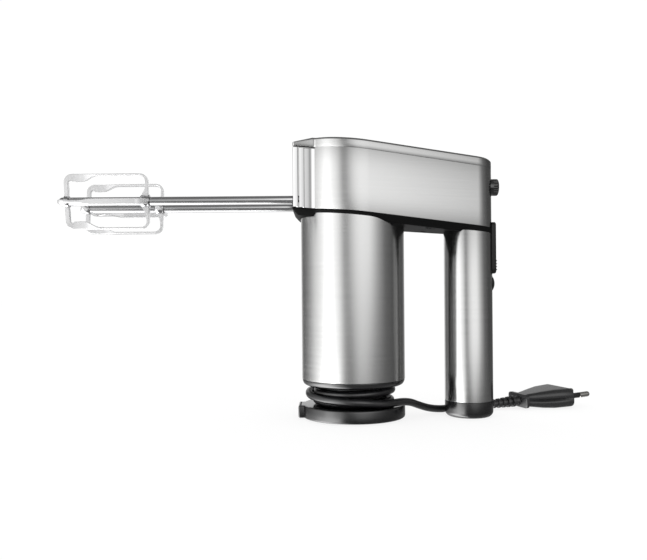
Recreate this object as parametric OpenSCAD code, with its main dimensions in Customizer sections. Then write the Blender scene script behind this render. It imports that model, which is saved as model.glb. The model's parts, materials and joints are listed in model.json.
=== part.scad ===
// Upright hand mixer: a motor tube and a slimmer handle tube hang from a sloping head,
// two beaters leave the nose of the head sideways, and the mains lead is wound round the neck
// of the foot. Origin: centre of the foot's underside, on the motor axis.
// +X points to the handle, the beaters point to -X, +Z is up. Millimetres.

/* [Motor tube and foot] */
// Outer radius of the motor tube
tube_r = 36; // [34:0.5:37]
// Wall of the steel tubes
tube_wall = 0.9; // [0.6:0.1:1.2]
// Height where the steel motor tube starts
tube_bottom = 27.1; // [26:0.1:28]
// Height where the end ring starts, above the lead's groove
ring_bottom = 22.7; // [22:0.1:24]
// Radius of the neck that the lead is wound on
neck_r = 23; // [21:0.5:24]
// Height of the foot's top face
foot_top = 9.3; // [8:0.1:10]

/* [Handle] */
// Distance from the motor axis to the handle axis
handle_x = 81; // [80:0.5:84]
// Outer radius of the handle tube
handle_r = 16.7; // [16:0.1:17]
// Height of the black end cap of the handle
handle_cap_top = 11.1; // [9:0.1:14]

/* [Head] */
// Slope of the head, down towards the handle, in degrees
head_slope = 5.5; // [4:0.1:7]
// Radius of the head's wide end, round the motor axis
head_r = 38; // [37:0.1:39]
// Height of the steel band's lower edge at the motor axis
band_low = 140.1; // [139:0.1:142]
// Height of the seam below the top cover at the motor axis
band_high = 181; // [178:0.1:184]
// Height of the top face at the motor axis
head_top = 187.5; // [185:0.1:190]
// Depth of the black underside cover
underside_depth = 4.7; // [4:0.1:6]
// Distance of the nose's front face from the motor axis
nose_front = 40.5; // [40:0.1:42]
// Half the width of the nose
nose_half = 28; // [27.5:0.1:29]

/* [Beaters] */
// Distance between the beater axes
beater_gap = 42; // [41:0.5:43]
// Height of the beater axes
beater_z = 149.4; // [149:0.1:150]
// Radius of a beater's cage
cage_r = 18.5; // [16:0.5:20]
// Distance of the cage's inner end from the motor axis
cage_start = 137.5; // [110:0.5:150]
// Length of a beater's cage
cage_length = 56.2; // [45:0.1:60]
// Width of a tine's flat strip
tine_width = 4; // [3:0.5:5]

/* [Gears] */
// Teeth on each worm wheel
wheel_teeth = 28; // [28:1:28]
// Pitch radius of the single-start worm
worm_pitch_r = 7; // [7:0.5:7]

/* [Lead] */
// Diameter of the mains lead
lead_d = 5.2; // [5:0.1:5.6]

/* [Hidden] */

$fn = 96;
beater_y = beater_gap / 2;
head_wall = 1.2;
far_x = handle_x - 0.4;
groove_front = nose_front - 3.6;
nose_back = nose_front - 7.6;
gap = 0.1;

// Ejector, spindles and wheels, measured along X
spindle_r = 4.4;
spindle_bore = 3;
spindle_rear = 13;
slot_half = 0.9;
slot_r = 3.7;
wing_r = 3.5;
shaft_r = 2.9;
shaft_inner_end = -10;
bush_r = 5.2;
wheel_half = 2.5;
yoke_x = 19;
eject_travel = 5;
eject_z = 160;
rod_r = 2;
button_r = 5.9;

// Worm and wheels, module 1
gear_module = 1;
pitch = PI * gear_module;
wheel_pitch_r = wheel_teeth * gear_module / 2;
wheel_tip_r = wheel_pitch_r + 1;
wheel_root_r = wheel_pitch_r - 1.25;
worm_tip_r = worm_pitch_r + 1;
worm_root_r = worm_pitch_r - 1.25;
worm_turns = 6;
worm_low = beater_z - worm_turns * pitch / 2;

// Motor, measured along Z
shaft_hole = 3.05;
shaft_low = 30.5;
shaft_high = 169;
stack_low = 60;
stack_high = 100;
bracket_floor = 30;
bracket_roof = 120;
frame_floor = 126;
frame_top = 168;

// Handle controls, measured along Z
bezel_low = 99.5;
bezel_high = 135.3;
turbo_z = 92.6;
board_x = handle_x + 3;
knob_low = 100.9;
knob_length = 9;

// The plug lies on the table and points away from the handle, a little upwards
plug_start = [98, 22.6, 3.65];
plug_turn = 18;
plug_rise = 3.6;
relief_length = 27;
plug_length = 38;
pin_length = 19;
pin_gap = 18.6;

// Middle of the lead from the winding over the foot's rim, down to the table, behind the handle
lead_route = [
    [19.2, -24.6, 12.2], [26, -19.2, 12.2], [33, -13.6, 12.1], [39, -8.6, 10.9],
    [45, -3.6, 8.3], [51, 1.6, 5.8], [57, 6.8, 4], [63.5, 12, 2.9], [70, 16.8, 2.6],
    [77, 20.2, 2.6], [84, 21.6, 2.6], [91, 22, 2.9], [98, 22.6, 3.65]
];

// ---- shared shapes ----

// A slab between two planes that slope with the head, heights taken at the motor axis
module slab(low, high) {
    upright = cos(head_slope);
    rotate([0, head_slope, 0])
        translate([-260, -100, low * upright])
            cube([520, 200, (high - low) * upright]);
}

// The head's outline from above, pulled in by inset: two round ends and the straight sides
module head_outline(inset = 0) {
    wide = head_r - inset;
    slim = handle_r - inset;
    lean = acos((wide - slim) / far_x);
    tuck = 0.02;
    circle(r = wide);
    translate([far_x, 0]) circle(r = slim);
    polygon([
        [(wide - tuck) * cos(lean), (wide - tuck) * sin(lean)],
        [far_x + (slim - tuck) * cos(lean), (slim - tuck) * sin(lean)],
        [far_x + (slim - tuck) * cos(lean), -(slim - tuck) * sin(lean)],
        [(wide - tuck) * cos(lean), -(wide - tuck) * sin(lean)]
    ]);
}

// The head's outline with its square nose, pulled in by inset; reach is measured from the axis
module head_plan(inset, reach) {
    half = nose_half - inset;
    head_outline(inset);
    translate([inset - reach, -half]) square([reach - inset, 2 * half]);
}

// That outline as a plate between two planes that slope with the head
module head_plate(inset, reach, low, high) {
    intersection() {
        linear_extrude(height = 200) head_plan(inset, reach);
        slab(low, high);
    }
}

// A rounded rectangle centred on the origin
module rounded_rect(length, width, r) {
    square([length - 2 * r, width], center = true);
    square([length, width - 2 * r], center = true);
    for (sx = [-1, 1], sy = [-1, 1])
        translate([sx * (length / 2 - r), sy * (width / 2 - r)]) circle(r = r);
}

// A cylinder along +X from x0 to x1
module rod(r, x0, x1, y = 0, z = 0) {
    translate([x0, y, z]) rotate([0, 90, 0]) cylinder(r = r, h = x1 - x0);
}

module ring(outer, inner, low, high) {
    difference() {
        translate([0, 0, low]) cylinder(r = outer, h = high - low);
        translate([0, 0, low - 1]) cylinder(r = inner, h = high - low + 2);
    }
}

function unit(v) = v / norm(v);
function heading(path, i) =
    unit(path[min(i + 1, len(path) - 1)] - path[max(i - 1, 0)]);
function ring_at(path, i, r, sides, up) =
    let (t = heading(path, i), side = unit(cross(t, up)), top = cross(side, t))
    [for (k = [0 : sides - 1])
        path[i] + r * cos(360 * k / sides) * side + r * sin(360 * k / sides) * top];

// A round tube swept along a path
module sweep(path, r, sides, up) {
    last = len(path) - 1;
    points = [for (i = [0 : last]) each ring_at(path, i, r, sides, up)];
    walls = [for (i = [0 : last - 1], k = [0 : sides - 1])
        let (n = (k + 1) % sides)
        [i * sides + k, i * sides + n, (i + 1) * sides + n, (i + 1) * sides + k]];
    start_cap = [[for (k = [sides - 1 : -1 : 0]) k]];
    end_cap = [[for (k = [0 : sides - 1]) last * sides + k]];
    polyhedron(points = points, faces = concat(walls, start_cap, end_cap), convexity = 8);
}

// A coil spring along +X
module spring_x(x0, x1, r, wire, turns) {
    steps = turns * 10;
    path = [for (i = [0 : steps])
        [x0 + wire + (x1 - x0 - 2 * wire) * i / steps, r * cos(36 * i), r * sin(36 * i)]];
    sweep(path, wire, 6, [1, 0, 0]);
}

// Moves a shape drawn along +X to the plug's place on the table
module at_plug(along = 0) {
    translate(plug_start)
        rotate([0, -plug_rise, plug_turn])
            translate([along, 0, 0])
                children();
}

// ---- casing ----

module motor_tube() color("silver") {
    intersection() {
        ring(tube_r, tube_r - tube_wall, tube_bottom, 150);
        slab(0, band_low - gap);
    }
}

module tube_end_ring() color("black") {
    spigot = tube_r - tube_wall - 0.2;
    lead_hole = 4;
    difference() {
        rotate_extrude()
            polygon([
                [0, ring_bottom], [tube_r - 3.4, ring_bottom], [tube_r - 1.4, ring_bottom + 1],
                [tube_r - 0.5, ring_bottom + 2.4], [tube_r, tube_bottom],
                [spigot, tube_bottom], [spigot, 34], [spigot - 2, 34],
                [spigot - 2, tube_bottom], [0, tube_bottom]
            ]);
        translate([14, 0, 0]) cylinder(r = lead_hole, h = 60);
    }
}

module neck_core() color("black") {
    gland_angle = 100;
    difference() {
        translate([0, 0, foot_top]) cylinder(r = neck_r, h = ring_bottom - foot_top);
        translate([0, 0, foot_top + 4]) cylinder(r = neck_r - 2.5, h = 20);
        translate([0, 0, foot_top - 1]) cylinder(r = 1.7, h = 10);
        rotate([0, 0, gland_angle])
            rod(3.4, 15, 30, 0, 13);
    }
}

module base_foot() color("black") {
    tab_reach = 38.5;
    tab_half = 9.5;
    rim = 0.6;
    difference() {
        union() {
            translate([0, 0, rim]) cylinder(r = tube_r, h = foot_top - rim);
            translate([-tab_reach, -tab_half, rim]) cube([20, 2 * tab_half, foot_top - rim]);
        }
        translate([0, 0, -1]) cylinder(r = 31.2, h = 3);
        translate([0, 0, -1]) cylinder(r = 2.1, h = 20);
        translate([0, 0, -1]) cylinder(r = 4.2, h = 6.4);
    }
}

module foot_pad() color("dimgray") {
    cylinder(r = 31, h = 2);
}

module foot_screw() color("silver") {
    difference() {
        union() {
            translate([0, 0, 2.6]) cylinder(r = 4, h = 2.8);
            translate([0, 0, 5.4]) cylinder(r = 1.6, h = 7.6);
        }
        translate([0, 0, 1.6]) cylinder(r = 1.6, h = 2.2, $fn = 6);
    }
}

module head_shell() color("silver") {
    mouth_half = nose_half - 0.4;
    difference() {
        intersection() {
            linear_extrude(height = 200) difference() {
                head_outline();
                head_outline(head_wall);
            }
            slab(band_low, band_high);
        }
        translate([-60, -mouth_half, 100]) cube([60, 2 * mouth_half, 100]);
        rod(button_r + 0.2, 90, 110, 0, eject_z);
    }
}

// Carries the nose panel and the front spindle bushes, and closes the shell's mouth
module nose_frame() color("silver") {
    neck_half = nose_half - 0.6;
    inner_half = neck_half - 1.4;
    neck_end = 24;
    difference() {
        intersection() {
            union() {
                translate([-nose_back - 3.4, -nose_half, 100]) cube([3.4, 2 * nose_half, 120]);
                translate([-groove_front, -neck_half, 100])
                    cube([groove_front - neck_end, 2 * neck_half, 120]);
            }
            slab(band_low, band_high);
        }
        translate([-nose_back, -inner_half, 100]) cube([20, 2 * inner_half, 120]);
        for (side = [-1, 1]) rod(bush_r, -50, -20, side * beater_y, beater_z);
    }
}

module nose_panel() color("gainsboro") {
    skin = 1.5;
    difference() {
        intersection() {
            translate([-nose_front, -nose_half, 100])
                cube([nose_front - groove_front, 2 * nose_half, 120]);
            slab(band_low, band_high);
        }
        intersection() {
            translate([-nose_front + skin, -nose_half + skin, 100])
                cube([10, 2 * (nose_half - skin), 120]);
            slab(band_low + skin, band_high - skin);
        }
        for (side = [-1, 1]) rod(spindle_r + 0.3, -50, -20, side * beater_y, beater_z);
    }
}

module top_cover() color("silver") {
    edge = 0.7;
    skin = 1.5;
    fall_start = -27;
    fall_angle = 11.3;
    difference() {
        union() {
            head_plate(0, nose_front, band_high, head_top - edge);
            head_plate(edge, nose_front, band_high + edge, head_top);
        }
        head_plate(skin, nose_front, band_high - 1, head_top - skin - 3);
        translate([fall_start, -50, head_top - fall_start * tan(head_slope)])
            rotate([0, -fall_angle, 0])
                translate([-60, 0, 0])
                    cube([60, 100, 30]);
    }
}

// Black cover that steps inwards to its lower face and grips the top of the handle
module underside_cover() color("black") {
    chin_reach = nose_front + 1;
    collar_depth = 3.4;
    difference() {
        union() {
            head_plate(0.4, chin_reach, band_low - 1.6, band_low);
            head_plate(2.2, chin_reach, band_low - 3.2, band_low - 1);
            head_plate(3.8, chin_reach, band_low - underside_depth, band_low - 2.5);
            intersection() {
                translate([handle_x, 0, 100]) cylinder(r = handle_r, h = 60);
                slab(band_low - collar_depth - 0.2, band_low - 0.3);
            }
        }
        translate([handle_x, 0, 100]) cylinder(r = handle_r - tube_wall, h = 60);
        intersection() {
            translate([handle_x, 0, 100]) cylinder(r = handle_r + gap, h = 60);
            slab(0, band_low - collar_depth);
        }
        translate([0, 0, 100]) cylinder(r = tube_r + gap, h = 60);
        translate([90, -3.2, 100]) cube([20, 6.4, bezel_high - 100]);
        for (side = [-1, 1]) translate([52.5, side * 14, 0]) {
            translate([0, 0, 120]) cylinder(r = 1.7, h = 30);
            translate([0, 0, 120]) cylinder(r = 3.2, h = 12.2);
        }
    }
}

module cover_screws() color("silver") {
    for (side = [-1, 1]) translate([52.5, side * 14, 0]) difference() {
        union() {
            translate([0, 0, 130.2]) cylinder(r = 2.8, h = 2);
            translate([0, 0, 132.2]) cylinder(r = 1.5, h = 7);
        }
        translate([0, 0, 129]) cylinder(r = 1.2, h = 2.2, $fn = 6);
    }
}

// ---- handle and controls ----

module handle_tube() color("silver") {
    difference() {
        intersection() {
            translate([handle_x, 0, 0])
                ring(handle_r, handle_r - tube_wall, handle_cap_top, 150);
            slab(0, band_low - 3.4);
        }
        translate([90, -3.2, 101]) cube([20, 6.4, 60]);
        rod(5.6, 90, 110, 0, turbo_z);
    }
}

module handle_joint() color("dimgray") {
    difference() {
        intersection() {
            translate([handle_x, 0, 0]) ring(handle_r - 1.9, handle_r - 4.4, 108, 160);
            slab(0, band_low + 3);
        }
        translate([88, -3.6, 100]) cube([20, 7.2, 60]);
    }
}

module handle_end_cap() color("black") {
    spigot = handle_r - tube_wall - 0.1;
    translate([handle_x, 0, 0]) rotate_extrude() {
        difference() {
            union() {
                translate([0, 2.4]) square([handle_r, handle_cap_top - 2.4]);
                square([handle_r - 2.4, 5]);
                translate([handle_r - 2.4, 2.4]) circle(r = 2.4);
                square([spigot, handle_cap_top + 5]);
            }
            translate([0, 3]) square([spigot - 2, 30]);
            translate([-10, -1]) square([10, 40]);
        }
    }
}

// Black frame on the back of the handle, with the channel that the speed knob runs in
module control_bezel() color("black") {
    length = bezel_high - bezel_low;
    middle = (bezel_high + bezel_low) / 2;
    difference() {
        translate([96.3, 0, middle]) rotate([0, 90, 0])
            linear_extrude(height = 3.9) rounded_rect(length, 14, 3);
        translate([far_x, 0, 90]) cylinder(r = handle_r + 0.15, h = 60);
        translate([handle_x, 0, 90]) cylinder(r = handle_r + 0.05, h = 60);
        translate([99.2, -3.3, bezel_low + 1.1]) cube([5, 6.6, 32.2]);
        translate([99.2, -8, 132.8]) cube([5, 16, 5]);
        translate([90, -1.5, 103]) cube([20, 3, 27]);
    }
}

module speed_slider() color("dimgray") {
    translate([99.35, -3, knob_low]) cube([1.1, 6, knob_length]);
    for (i = [0 : 3])
        translate([100.45, -3, knob_low + 1 + 2 * i]) cube([0.5, 6, 1]);
    translate([90, -1.2, knob_low + 3]) cube([9.5, 2.4, 3]);
}

module turbo_button() color("black") {
    dome_r = 9.1;
    dome_centre = 90.4;
    translate([0, 0, turbo_z]) rotate([0, 90, 0]) rotate_extrude() {
        translate([0, 93.2]) square([1.6, 1]);
        translate([0, 94]) square([6.4, 1]);
        translate([0, 94.5]) square([5.3, 3]);
        intersection() {
            translate([0, dome_centre]) circle(r = dome_r);
            translate([0, 97.4]) square([5.3, 5]);
        }
    }
}

module turbo_spring() color("silver") {
    translate([0, 0, turbo_z]) spring_x(91.6, 93.9, 2.6, 0.25, 3);
}

module eject_button() color("black") {
    rib_count = 18;
    head_low = 94.2;
    head_high = 102.3;
    difference() {
        union() {
            rod(button_r, head_low, head_high - 0.8, 0, eject_z);
            rod(button_r - 0.8, head_low, head_high, 0, eject_z);
            rod(6.8, head_low - 2, head_low, 0, eject_z);
        }
        for (i = [0 : rib_count - 1])
            translate([0, 0, eject_z]) rotate([i * 360 / rib_count, 0, 0])
                translate([98.6, button_r - 0.4, -0.4]) cube([5, 2, 0.8]);
        rod(rod_r + 0.02, 90, 97, 0, eject_z);
    }
}

// The rod carries the button's push to two fingers that reach into the hollow spindles
module ejector_yoke() color("silver") {
    arm_half = beater_y + 3.4;
    finger_end = shaft_inner_end + eject_travel + 0.5;
    rod(rod_r, yoke_x, 96.9, 0, eject_z);
    rod(4.4, 85, 86.5, 0, eject_z);
    translate([yoke_x, -4, beater_z - 3]) cube([2, 8, eject_z + 3 - beater_z + 3]);
    translate([yoke_x, -arm_half, beater_z - 3]) cube([2, 2 * arm_half, 6]);
    for (side = [-1, 1])
        rod(2.2, finger_end, yoke_x, side * beater_y, beater_z);
}

module eject_spring() color("silver") {
    translate([0, 0, eject_z]) spring_x(63.1, 84.9, 3.3, 0.4, 9);
}

// Bracket on the underside cover that guides the ejector rod and holds its spring
module ejector_guide() color("dimgray") {
    difference() {
        intersection() {
            union() {
                translate([42, -18, 120]) cube([21, 36, 20]);
                translate([42, -8, 120]) cube([3, 16, 46]);
                translate([60, -8, 120]) cube([3, 16, 46]);
            }
            slab(band_low, 200);
        }
        intersection() {
            translate([30, -30, 120]) cube([50, 60, 70]);
            slab(band_low + 3, 300);
            difference() {
                translate([30, -30, 120]) cube([50, 60, 70]);
                translate([42, -8, 120]) cube([3, 16, 60]);
                translate([60, -8, 120]) cube([3, 16, 60]);
            }
        }
        rod(rod_r + 0.06, 30, 80, 0, eject_z);
        for (side = [-1, 1]) translate([52.5, side * 14, 120]) cylinder(r = 1.6, h = 30);
    }
}

module switch_carrier() color("dimgray") {
    translate([board_x - 4, -11, 40]) cube([4, 22, 68]);
}

module circuit_board() color("green") {
    translate([board_x, -11, 44]) cube([1.6, 22, 84]);
}

module speed_switch() color("dimgray") {
    difference() {
        translate([board_x + 1.6, -5, 101]) cube([6, 10, 26]);
        translate([board_x + 5, -1.6, 100]) cube([6, 3.2, 30]);
    }
}

module turbo_switch() color("dimgray") {
    translate([board_x + 1.6, -4, 86.5]) cube([5.9, 8, 12.2]);
}

// ---- motor ----

module posts(low, high) {
    for (a = [65, 115, 245, 295])
        rotate([0, 0, a]) translate([30, 0, low]) cylinder(r = 2.3, h = high - low);
}

module motor_bracket_lower() color("gray") {
    difference() {
        union() {
            translate([0, 0, tube_bottom]) cylinder(r = 32.5, h = bracket_floor - tube_bottom);
            translate([0, 0, bracket_floor]) cylinder(r = 11, h = 7);
            posts(bracket_floor, stack_low);
        }
        translate([0, 0, bracket_floor]) cylinder(r = 8.05, h = 20);
        translate([14, 0, 0]) cylinder(r = 2.9, h = 60);
    }
}

module motor_bracket_upper() color("gray") {
    difference() {
        union() {
            translate([0, 0, bracket_roof])
                cylinder(r = tube_r - tube_wall - 0.2, h = frame_floor - bracket_roof);
            posts(stack_high, bracket_roof);
        }
        translate([0, 0, bracket_roof - 1]) cylinder(r = 8.05, h = 20);
        for (a = [0 : 60 : 300])
            rotate([0, 0, a]) translate([18, 0, bracket_roof - 1]) cylinder(r = 5, h = 20);
    }
}

module stator_core() color("slategray") {
    ring(34, 17.8, stack_low, stack_high);
}

module field_coils() color("peru") {
    for (turn = [-50, 130], low = [stack_low - 12, stack_high])
        translate([0, 0, low]) rotate([0, 0, turn])
            rotate_extrude(angle = 100) translate([20, 0]) square([11, 12]);
}

module brush_holders() color("dimgray") {
    for (turn = [90, 270]) rotate([0, 0, turn]) difference() {
        translate([13.5, -5.5, bracket_floor]) cube([14, 11, 21]);
        translate([13, -3.1, 41]) cube([13, 6.2, 8.1]);
    }
}

module carbon_brushes() color("black") {
    for (turn = [90, 270]) rotate([0, 0, turn])
        translate([11.4, -3, 41.05]) cube([12.6, 6, 8]);
}

module lower_bearing() color("goldenrod") {
    ring(8, shaft_r + 0.15, bracket_floor, bracket_floor + 7);
}

module middle_bearing() color("goldenrod") {
    ring(8, shaft_r + 0.15, bracket_roof, frame_floor);
}

module top_bearing() color("goldenrod") {
    ring(6, shaft_r + 0.15, frame_top - 4, frame_top);
}

module armature_core() color("slategray") {
    slots = 12;
    difference() {
        ring(17.3, shaft_hole, stack_low, stack_high);
        for (i = [0 : slots - 1])
            rotate([0, 0, i * 360 / slots])
                translate([12, -0.9, stack_low - 1]) cube([8, 1.8, 60]);
    }
}

module armature_windings() color("peru") {
    ring(14.5, shaft_hole + 2, stack_low - 7, stack_low);
    ring(14.5, shaft_hole + 2, stack_high, stack_high + 8);
}

module commutator() color("peru") {
    bars = 24;
    difference() {
        ring(11, shaft_hole, 39, 53);
        for (i = [0 : bars - 1])
            rotate([0, 0, i * 360 / bars]) translate([10.4, -0.2, 38]) cube([2, 0.4, 20]);
    }
}

module motor_shaft() color("silver") {
    translate([0, 0, shaft_low]) cylinder(r = 3, h = shaft_high - shaft_low);
}

module cooling_fan() color("ivory") {
    blades = 9;
    fan_low = 112.8;
    difference() {
        union() {
            translate([0, 0, fan_low]) cylinder(r = 26, h = 1.4);
            translate([0, 0, fan_low]) cylinder(r = 7, h = 7);
            for (i = [0 : blades - 1])
                rotate([0, 0, i * 360 / blades])
                    translate([5, -0.6, fan_low]) cube([20.5, 1.2, 6.5]);
        }
        translate([0, 0, 100]) cylinder(r = shaft_hole, h = 30);
    }
}

// Single-start right-hand worm: one bump on the cross-section, twisted once per pitch.
// The bump points to +Y at the height of the wheels, where it fills a gap of the right wheel.
module worm() color("silver") {
    tip_half = 0.25 / pitch * 360;
    root_half = 0.7 / pitch * 360;
    start_turn = 90 - 360 * worm_turns / 2;
    difference() {
        translate([0, 0, worm_low])
            linear_extrude(height = worm_turns * pitch, twist = -360 * worm_turns,
                           slices = 16 * worm_turns, convexity = 10, $fn = 9)
                rotate(start_turn) polygon(concat(
                    [for (a = [-tip_half, 0, tip_half]) worm_tip_r * [cos(a), sin(a)]],
                    [for (i = [0 : 5])
                        let (a = root_half + (360 - 2 * root_half) * i / 5)
                        worm_root_r * [cos(a), sin(a)]]
                ));
        translate([0, 0, worm_low - 1]) cylinder(r = shaft_hole, h = 40);
    }
}

// ---- gearing and beaters ----

// Stands on the upper motor bracket and carries the spindles and the top of the motor shaft
module gear_frame() color("gray") {
    front_x = -12;
    rear_x = 8.5;
    plate = 3;
    difference() {
        union() {
            for (x = [front_x, rear_x])
                translate([x, -30, frame_floor]) cube([plate, 60, frame_top - frame_floor]);
            translate([front_x, -9, frame_top - 4]) cube([rear_x + plate - front_x, 18, 4]);
        }
        for (side = [-1, 1]) rod(bush_r, -20, 20, side * beater_y, beater_z);
        translate([0, 0, frame_top - 5]) cylinder(r = 6.05, h = 10);
    }
}

module spindle_bushes() color("goldenrod") {
    for (side = [-1, 1], span = [[-nose_back - 3.4, -nose_back], [-12, -9], [8.5, 11.5]])
        difference() {
            rod(bush_r - 0.02, span[0], span[1], side * beater_y, beater_z);
            rod(spindle_r + 0.06, span[0] - 1, span[1] + 1, side * beater_y, beater_z);
        }
}

// Hollow spindle: the slot at its open end takes the wings of the beater's shaft
module spindle(side) {
    front = -nose_front + 0.1;
    translate([0, side * beater_y, beater_z]) difference() {
        rod(spindle_r, front, spindle_rear);
        rod(spindle_bore, front - 1, spindle_rear + 1);
        translate([front - 1, -slot_half, -slot_r])
            cube([shaft_inner_end - front + 2, 2 * slot_half, 2 * slot_r]);
    }
}

// Worm wheel with straight teeth; first turns the first tooth, measured from +Y
module worm_wheel(side, first) {
    root_half = 0.9 / wheel_root_r * 180 / PI;
    tip_half = 0.25 / wheel_tip_r * 180 / PI;
    step = 360 / wheel_teeth;
    translate([-wheel_half, side * beater_y, beater_z]) rotate([90, 0, 90]) difference() {
        linear_extrude(height = 2 * wheel_half) polygon([
            for (i = [0 : wheel_teeth - 1])
                let (a = first + i * step)
                each [
                    wheel_root_r * [cos(a - root_half), sin(a - root_half)],
                    wheel_tip_r * [cos(a - tip_half), sin(a - tip_half)],
                    wheel_tip_r * [cos(a + tip_half), sin(a + tip_half)],
                    wheel_root_r * [cos(a + root_half), sin(a + root_half)]
                ]
        ]);
        translate([0, 0, -1]) cylinder(r = spindle_r + 0.02, h = 10);
        for (i = [0 : 4])
            rotate(i * 72) translate([8.6, 0, -1]) cylinder(r = 1.9, h = 10);
    }
}

// Shaft of a beater with its drive wings, the collars that grip the cage, and the rounded tip
module beater_shaft(side) {
    strip = 1.3;
    cage_end = cage_start + cage_length;
    translate([0, side * beater_y, beater_z]) {
        rod(shaft_r, -cage_end - 1.8, shaft_inner_end);
        translate([-cage_end - 1.8, 0, 0]) intersection() {
            sphere(r = shaft_r);
            rod(shaft_r + 1, -10, 0.2);
        }
        rod(4.4, -cage_start - 5.1, -cage_start - strip - 0.02);
        rod(4.4, -cage_start + 0.02, -cage_start + 0.9);
        rod(4, -cage_end + strip + 0.02, -cage_end + strip + 1.6);
        translate([shaft_inner_end - 9, -0.75, -wing_r]) cube([7, 1.5, 2 * wing_r]);
    }
}

// Two flat strips bent to closed loops, crossed at right angles
module beater_cage(side, phase) {
    strip = 1.3;
    corner = 5.5;
    middle = -cage_start - cage_length / 2;
    translate([0, side * beater_y, beater_z]) difference() {
        for (turn = [0, 90])
            rotate([phase + turn, 0, 0]) translate([middle, 0, 0]) rotate([90, 0, 0])
                translate([0, 0, -tine_width / 2]) linear_extrude(height = tine_width)
                    difference() {
                        rounded_rect(cage_length, 2 * cage_r, corner);
                        rounded_rect(cage_length - 2 * strip, 2 * (cage_r - strip),
                                     corner - strip);
                    }
        rod(shaft_r + 0.02, -220, -100);
    }
}

// ---- mains lead ----

// Tapered sleeve bent round the neck, where the lead comes out of it
module cord_gland() color("black") {
    sleeve_turn = 48;
    rotate([0, 0, 100]) {
        rod(3.3, 20.6, 25.9, 0, 13);
        translate([0, 0, 13]) rotate_extrude(angle = sleeve_turn)
            translate([26.8, 0]) circle(r = 3.3);
    }
}

module cord_coil() color("black") {
    ring(neck_r + 10.8, neck_r + 0.3, foot_top + 0.2, ring_bottom - 0.4);
}

module cord_tail() color("black") {
    sweep(lead_route, lead_d / 2, 10, [0, 0, 1]);
}

module plug_strain_relief() color("black") {
    at_plug() rotate([0, 90, 0]) cylinder(r1 = 3.1, r2 = 4.5, h = relief_length);
}

// Flat two-pin plug: a wedge that widens to the pin face, with a grip flange at its rear
module plug_body() color("black") {
    at_plug(relief_length) difference() {
        union() {
            hull($fn = 24) {
                translate([2, 0, 0.4]) rotate([0, 90, 0])
                    linear_extrude(height = 0.1) rounded_rect(9, 15, 3);
                translate([24, 0, 0]) rotate([0, 90, 0])
                    linear_extrude(height = 0.1) rounded_rect(13.7, 30, 5);
                translate([plug_length - 0.1, 0, 0]) rotate([0, 90, 0])
                    linear_extrude(height = 0.1) rounded_rect(13.7, 35.3, 5.5);
            }
            translate([0, 0, 0.5]) rotate([0, 90, 0])
                linear_extrude(height = 3) rounded_rect(10, 24, 3);
        }
        for (side = [-1, 1])
            rod(2.05, plug_length - 8, plug_length + 1, side * pin_gap / 2, 0);
    }
}

module pin_sleeves() color("black") {
    at_plug(relief_length + plug_length) for (side = [-1, 1]) difference() {
        rod(1.98, -8, 10, side * pin_gap / 2, 0);
        rod(1.62, -9, 11, side * pin_gap / 2, 0);
    }
}

module plug_pins() color("silver") {
    at_plug(relief_length + plug_length) for (side = [-1, 1])
        translate([0, side * pin_gap / 2, 0]) {
            rod(1.6, -7.9, pin_length - 2);
            rod(2, 10.02, pin_length - 2);
            translate([pin_length - 2, 0, 0]) sphere(r = 2);
        }
}

// ---- assembly ----

tooth_step = 360 / 28;
motor_tube();
tube_end_ring();
neck_core();
base_foot();
foot_pad();
foot_screw();
head_shell();
nose_frame();
nose_panel();
top_cover();
underside_cover();
cover_screws();
handle_tube();
handle_joint();
handle_end_cap();
control_bezel();
speed_slider();
turbo_button();
turbo_spring();
eject_button();
ejector_yoke();
eject_spring();
ejector_guide();
switch_carrier();
circuit_board();
speed_switch();
turbo_switch();
motor_bracket_lower();
motor_bracket_upper();
stator_core();
field_coils();
brush_holders();
carbon_brushes();
lower_bearing();
middle_bearing();
top_bearing();
armature_core();
armature_windings();
commutator();
motor_shaft();
cooling_fan();
worm();
gear_frame();
spindle_bushes();
color("silver") spindle(-1);  // spindle_left
color("silver") spindle(1);  // spindle_right
color("ivory") worm_wheel(-1, 0);  // worm_wheel_left
color("ivory") worm_wheel(1, tooth_step / 2);  // worm_wheel_right
color("silver") beater_shaft(-1);  // beater_left_shaft
color("silver") beater_cage(-1, 7.5);  // beater_left_cage
color("silver") beater_shaft(1);  // beater_right_shaft
color("silver") beater_cage(1, -7.5);  // beater_right_cage
cord_gland();
cord_coil();
cord_tail();
plug_strain_relief();
plug_body();
pin_sleeves();
plug_pins();
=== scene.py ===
import json
import math

import bpy
import bmesh
from mathutils import Matrix, Vector


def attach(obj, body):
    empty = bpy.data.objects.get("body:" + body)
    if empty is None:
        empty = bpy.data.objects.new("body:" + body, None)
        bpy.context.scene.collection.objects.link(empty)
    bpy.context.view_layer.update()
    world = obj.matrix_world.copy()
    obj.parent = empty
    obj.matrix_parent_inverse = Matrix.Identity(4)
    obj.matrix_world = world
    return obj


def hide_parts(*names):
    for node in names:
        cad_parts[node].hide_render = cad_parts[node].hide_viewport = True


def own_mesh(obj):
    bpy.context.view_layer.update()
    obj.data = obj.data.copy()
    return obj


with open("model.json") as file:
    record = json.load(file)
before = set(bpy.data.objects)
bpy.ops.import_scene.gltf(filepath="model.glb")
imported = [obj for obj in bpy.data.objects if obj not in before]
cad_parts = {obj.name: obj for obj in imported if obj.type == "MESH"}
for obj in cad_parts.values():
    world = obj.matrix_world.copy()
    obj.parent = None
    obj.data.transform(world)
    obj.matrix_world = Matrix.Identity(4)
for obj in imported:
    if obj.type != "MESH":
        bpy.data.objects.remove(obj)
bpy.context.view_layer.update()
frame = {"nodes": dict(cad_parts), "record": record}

MM = 0.001
SLOPE = math.tan(math.radians(5.5))
BEATER_Z = 149.4
BEATER_Y = 21.0
HANDLE_X = 81.0
HANDLE_R = 16.7
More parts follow.
